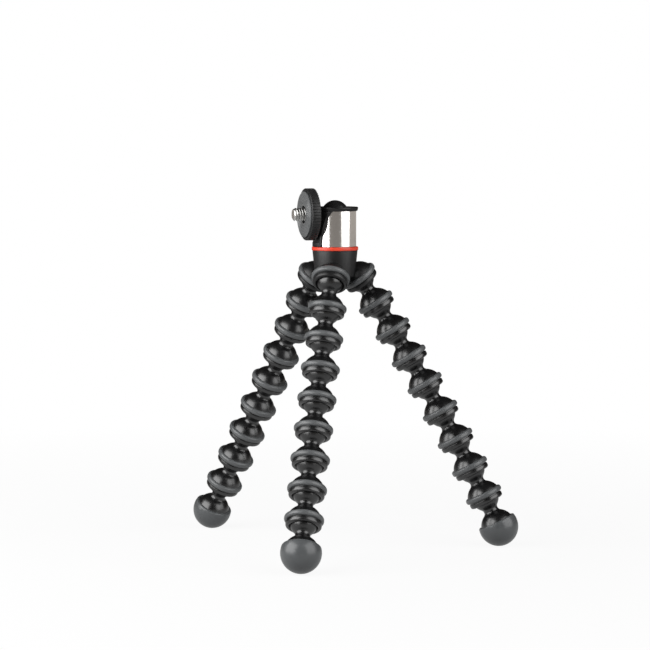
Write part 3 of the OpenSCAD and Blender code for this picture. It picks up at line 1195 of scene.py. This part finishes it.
@dataclass
class CameraPlate:
    """The knurled disc, its rubber pad and the camera screw."""

    place: Matrix
    near: float = 10.7
    radius: float = 12.5
    height: float = 4.4
    bevel: float = 0.6
    ridges: int = 54
    ridge_out: float = 0.4
    ridge_edge: float = 0.12
    bore: float = 2.8
    bore_depth: float = 2.0
    root: float = 2.6
    pad: float = 11.0
    pad_hole: float = 4.2
    pad_height: float = 0.8
    pad_sink: float = 0.15
    pad_play: float = 0.1
    pad_edge: float = 0.3
    pad_rings: tuple[float, ...] = (9.6, 8.2, 6.8, 5.4)
    ring_depth: float = 0.2
    ring_top: float = 0.35
    ring_bottom: float = 0.15
    screw: float = 3.175
    screw_length: float = 5.2
    screw_bevel: float = 0.7
    screw_play: float = 0.1
    thread_pitch: float = 1.27
    thread_share: float = 0.613
    crest_share: float = 0.12
    flank_share: float = 0.72
    thread_rows: int = 66
    gap: float = 0.03

    def disc(self) -> bpy.types.Object:
        """Models the disc from a cylinder whose alternate side faces stand out as ridges.

        Returns:
            The disc.
        """
        pen = Outline("knurled_disc", self.bore, self.near)
        low = self.radius - self.ridge_out
        far = self.near + self.height
        pen.corner(low, self.near, self.bevel, low, far, 3)
        pen.corner(low, far, self.bevel, self.pad, far, 3)
        pen.line(self.pad + self.pad_sink, far)
        pen.line(self.pad + self.pad_play, far - self.pad_sink)
        pen.line(self.root + self.gap, far - self.pad_sink)
        pen.line(self.root + self.gap, self.near + self.bore_depth)
        pen.line(self.bore, self.near + self.bore_depth)
        pen.home()
        disc = pen.spun(4 * self.ridges)
        Bench.edit(disc)
        bpy.context.tool_settings.mesh_select_mode = (False, False, True)
        bpy.ops.mesh.select_all(action="DESELECT")
        shape = bmesh.from_edit_mesh(disc.data)
        slice_angle = 2 * math.pi / (4 * self.ridges)
        for face in shape.faces:
            middle = face.calc_center_median()
            step = round((math.atan2(middle.y, middle.x) % (2 * math.pi)) / slice_angle - 0.5)
            outer = math.hypot(middle.x, middle.y) > (low - NEAR) * MM
            face.select_set(outer and step % 4 in (0, 1))
        bmesh.update_edit_mesh(disc.data)
        bpy.ops.mesh.extrude_region_shrink_fatten(TRANSFORM_OT_shrink_fatten={"value": self.ridge_out * MM})
        bpy.ops.object.mode_set(mode="OBJECT")
        Bench.soften(disc, self.ridge_edge, 2, 45)
        return Bench.place(Bench.close(disc, 40), self.place)

    def rubber_pad(self) -> bpy.types.Object:
        """Turns the pad with shallow rings on its face.

        Returns:
            The pad.
        """
        foot = self.near + self.height - self.pad_sink + self.gap
        head = self.near + self.height + self.pad_height
        inner = self.pad_hole
        pen = Outline("rubber_pad", inner, foot)
        pen.corner(self.pad, foot, self.pad_play, self.pad, head, 2)
        pen.corner(self.pad, head, self.pad_edge, inner, head, 4)
        for ring in self.pad_rings:
            pen.line(ring + self.ring_top, head)
            pen.line(ring + self.ring_bottom, head - self.ring_depth)
            pen.line(ring - self.ring_bottom, head - self.ring_depth)
            pen.line(ring - self.ring_top, head)
        pen.line(inner, head)
        pen.home()
        return Bench.place(pen.spun(128), self.place)

    def camera_screw(self) -> bpy.types.Object:
        """Turns the screw and raises its thread.

        Returns:
            The screw.
        """
        foot = self.near + self.height + self.gap
        length = self.pad_height + self.screw_length
        tip = foot + length
        depth = self.thread_share * self.thread_pitch
        inside = self.near + self.bore_depth + self.screw_play
        pen = Outline("camera_thread", 0, inside)
        pen.line(self.root, inside)
        pen.line(self.root, foot)
        pen.line(self.screw, foot)
        for row in range(1, self.thread_rows + 1):
            pen.line(self.screw, foot + length * row / self.thread_rows)
        pen.line(0, tip)
        screw = pen.spun(72)
        for vertex in screw.data.vertices:
            x, y, z = (value / MM for value in vertex.co)
            reach = math.hypot(x, y)
            if z < foot - NEAR or reach < self.screw - NEAR:
                continue
            turn = (z - foot) / self.thread_pitch - math.atan2(y, x) / (2 * math.pi)
            wave = abs((turn % 1.0) * 2 - 1)
            groove = depth * min(1.0, max(0.0, (wave - self.crest_share) / self.flank_share))
            radius = min(self.screw - groove, self.screw - self.screw_bevel + (tip - z), self.screw)
            vertex.co.x *= radius / reach
            vertex.co.y *= radius / reach
        Bench.close(screw, 50)
        return Bench.place(screw, self.place)

    def build(self) -> None:
        """Builds the plate's pieces."""
        Store.settle(self.disc(), "plate", "disc_plastic", DISC_PLASTIC, "camera_disc")
        Store.settle(self.rubber_pad(), "plate", "grip_rubber", GRIP_RUBBER, "camera_disc")
        Store.settle(self.camera_screw(), "plate", "screw_steel", SCREW_STEEL, "camera_screw")


@dataclass
class Studio:
    """White table, soft lamps and the camera. Places are metres.

    The glow and room fields are spreads: results at the two ends, then the ends.
    """

    eye: tuple[float, float, float] = (-0.00481, -1.2, 0.20293)
    pitch: float = 4.561
    lens: float = 138.19
    sensor: float = 36.0
    middle: float = 0.09
    table_half: tuple[float, float] = (1.5, 1.4)
    table_back: float = 0.8
    cloth: float = 0.8
    dim_cloth: float = 0.3
    seen_glow: tuple[float, ...] = (0.92, 1.0, 0.12, 0.5)
    gloss_glow: tuple[float, ...] = (0.55, 0.0, 0.1, 0.55)
    room_colour: Colour = (1.0, 0.93, 0.86)
    room_depth: tuple[float, ...] = (0.28, 0.46, -0.8, 0.2)
    room_height: tuple[float, ...] = (1.0, 0.06, 0.0, 0.07)

    def camera(self) -> None:
        """Sets the camera at the picture's viewpoint."""
        lens = bpy.data.cameras.new("camera")
        lens.lens = self.lens
        lens.sensor_width = self.sensor
        lens.clip_start = 0.01
        lens.clip_end = 50.0
        eye = bpy.data.objects.new("camera", lens)
        eye.location = self.eye
        eye.rotation_euler = (math.radians(90 - self.pitch), 0, 0)
        bpy.context.scene.collection.objects.link(eye)
        bpy.context.scene.camera = eye

    def softbox(self, name: str, bearing: float, rise: float, reach: float, size: tuple[float, float],
                strength: float) -> None:
        """Hangs a soft lamp round the object, facing its middle.

        Args:
            name: Name of the lamp.
            bearing: Its direction from the object, in degrees from the camera's side towards +X.
            rise: Its height over the object, in degrees.
            reach: Its distance from the object.
            size: Width and height of its face.
            strength: Brightness of its face.
        """
        light = bpy.data.lights.new(name, "AREA")
        light.shape = "RECTANGLE"
        light.size, light.size_y = size
        light.energy = strength * math.pi * size[0] * size[1]
        lamp = bpy.data.objects.new(name, light)
        side, up = math.radians(bearing), math.radians(rise)
        way = Vector((math.sin(side) * math.cos(up), -math.cos(side) * math.cos(up), math.sin(up)))
        lamp.location = way * reach + Vector((0, 0, self.middle))
        lamp.rotation_euler = (-way).to_track_quat("-Z", "Y").to_euler()
        lamp.visible_camera = False
        bpy.context.scene.collection.objects.link(lamp)

    def table(self) -> None:
        """Lays the white table, which keeps the object's shadow and fades into the backdrop."""
        Bench.clear()
        bpy.ops.mesh.primitive_plane_add(size=2.0, location=(0, 0, 0))
        table = bpy.context.active_object
        table.name = "white_table"
        table.data.transform(Matrix.Translation((0, self.table_back, 0)) @ Matrix.Diagonal((*self.table_half, 1, 1)))
        made = bpy.data.materials.new("white_table")
        made.use_nodes = True
        board = Board(made.node_tree)
        made.node_tree.nodes.clear()
        out = board.add("ShaderNodeOutputMaterial")
        path = board.add("ShaderNodeLightPath")
        matte = board.add("ShaderNodeBsdfDiffuse")
        matte.inputs["Color"].default_value = (*[self.cloth] * 3, 1)
        dim = board.add("ShaderNodeBsdfDiffuse")
        dim.inputs["Color"].default_value = (*[self.dim_cloth] * 3, 1)
        cloth = board.add("ShaderNodeMixShader")
        board.join(path.outputs["Is Camera Ray"], cloth.inputs["Fac"])
        board.join(dim.outputs["BSDF"], cloth.inputs[1])
        board.join(matte.outputs["BSDF"], cloth.inputs[2])
        glow = board.add("ShaderNodeEmission")
        glow.inputs["Color"].default_value = (1, 1, 1, 1)
        away = board.add("ShaderNodeVectorMath", operation="LENGTH")
        board.join(board.add("ShaderNodeTexCoord").outputs["Object"], away.inputs[0])
        share = board.add("ShaderNodeMath", operation="ADD")
        shown = ((self.shown(board, path), board.spread(away.outputs["Value"], *self.seen_glow)),
                 (path.outputs["Is Glossy Ray"], board.spread(away.outputs["Value"], *self.gloss_glow)))
        for row, (ray, amount) in enumerate(shown):
            part = board.add("ShaderNodeMath", operation="MULTIPLY")
            board.join(ray, part.inputs[0])
            board.join(amount, part.inputs[1])
            board.join(part.outputs[0], share.inputs[row])
        mix = board.add("ShaderNodeMixShader")
        board.join(share.outputs[0], mix.inputs["Fac"])
        board.join(cloth.outputs["Shader"], mix.inputs[1])
        board.join(glow.outputs["Emission"], mix.inputs[2])
        board.join(mix.outputs["Shader"], out.inputs["Surface"])
        table.data.materials.append(made)

    @staticmethod
    def shown(board: Board, path: bpy.types.Node) -> bpy.types.NodeSocket:
        """Tells the rays that show the backdrop itself from those that only light the object.

        Args:
            board: The board the nodes go on.
            path: The board's light path node.

        Returns:
            1 for a ray that shows the backdrop, otherwise 0.
        """
        both = board.add("ShaderNodeMath", operation="MAXIMUM")
        board.join(path.outputs["Is Camera Ray"], both.inputs[0])
        board.join(path.outputs["Is Transmission Ray"], both.inputs[1])
        return both.outputs[0]

    def world(self) -> None:
        """Makes the white backdrop and a dim room round the table."""
        world = bpy.data.worlds.new("studio")
        bpy.context.scene.world = world
        world.use_nodes = True
        board = Board(world.node_tree)
        world.node_tree.nodes.clear()
        out = board.add("ShaderNodeOutputWorld")
        way = board.add("ShaderNodeSeparateXYZ")
        board.join(board.add("ShaderNodeTexCoord").outputs["Generated"], way.inputs["Vector"])
        low = board.spread(way.outputs["Y"], *self.room_depth)
        level = board.add("ShaderNodeMath", operation="MULTIPLY")
        board.join(low, level.inputs[0])
        board.join(board.spread(way.outputs["Z"], *self.room_height), level.inputs[1])
        room = board.add("ShaderNodeBackground")
        room.inputs["Color"].default_value = (*self.room_colour, 1)
        board.join(level.outputs[0], room.inputs["Strength"])
        backdrop = board.add("ShaderNodeBackground")
        backdrop.inputs["Color"].default_value = (1, 1, 1, 1)
        mix = board.add("ShaderNodeMixShader")
        board.join(self.shown(board, board.add("ShaderNodeLightPath")), mix.inputs["Fac"])
        board.join(room.outputs["Background"], mix.inputs[1])
        board.join(backdrop.outputs["Background"], mix.inputs[2])
        board.join(mix.outputs["Shader"], out.inputs["Surface"])

    def build(self) -> None:
        """Sets the stage."""
        bpy.context.scene.view_settings.view_transform = "Standard"
        self.camera()
        self.world()
        self.table()
        self.softbox("left_softbox", bearing=-62.0, rise=22.0, reach=0.6, size=(0.69, 0.56), strength=4.4)
        self.softbox("right_softbox", bearing=60.0, rise=26.0, reach=1.4, size=(1.45, 1.4), strength=2.8)


def main() -> None:
    """Builds the tripod and the studio."""
    logging.basicConfig(level=logging.INFO, format="%(message)s")
    layout = Layout(frame["joints"])
    legs = [BendyLeg(leg, layout) for leg in Leg]
    core = legs[0].link_core()
    ring = legs[0].joint.grip_ring("ring_pattern", -legs[0].joint.pitch)
    for leg in legs:
        leg.build(core, ring)
    for pattern in (core, ring):
        bpy.data.objects.remove(pattern)
    Hub(layout).build()
    head = BallHead(layout)
    plate = CameraPlate(head.stem_place())
    head.build(plate.radius)
    plate.build()
    Studio().build()


if __name__ == "__main__":
    main()
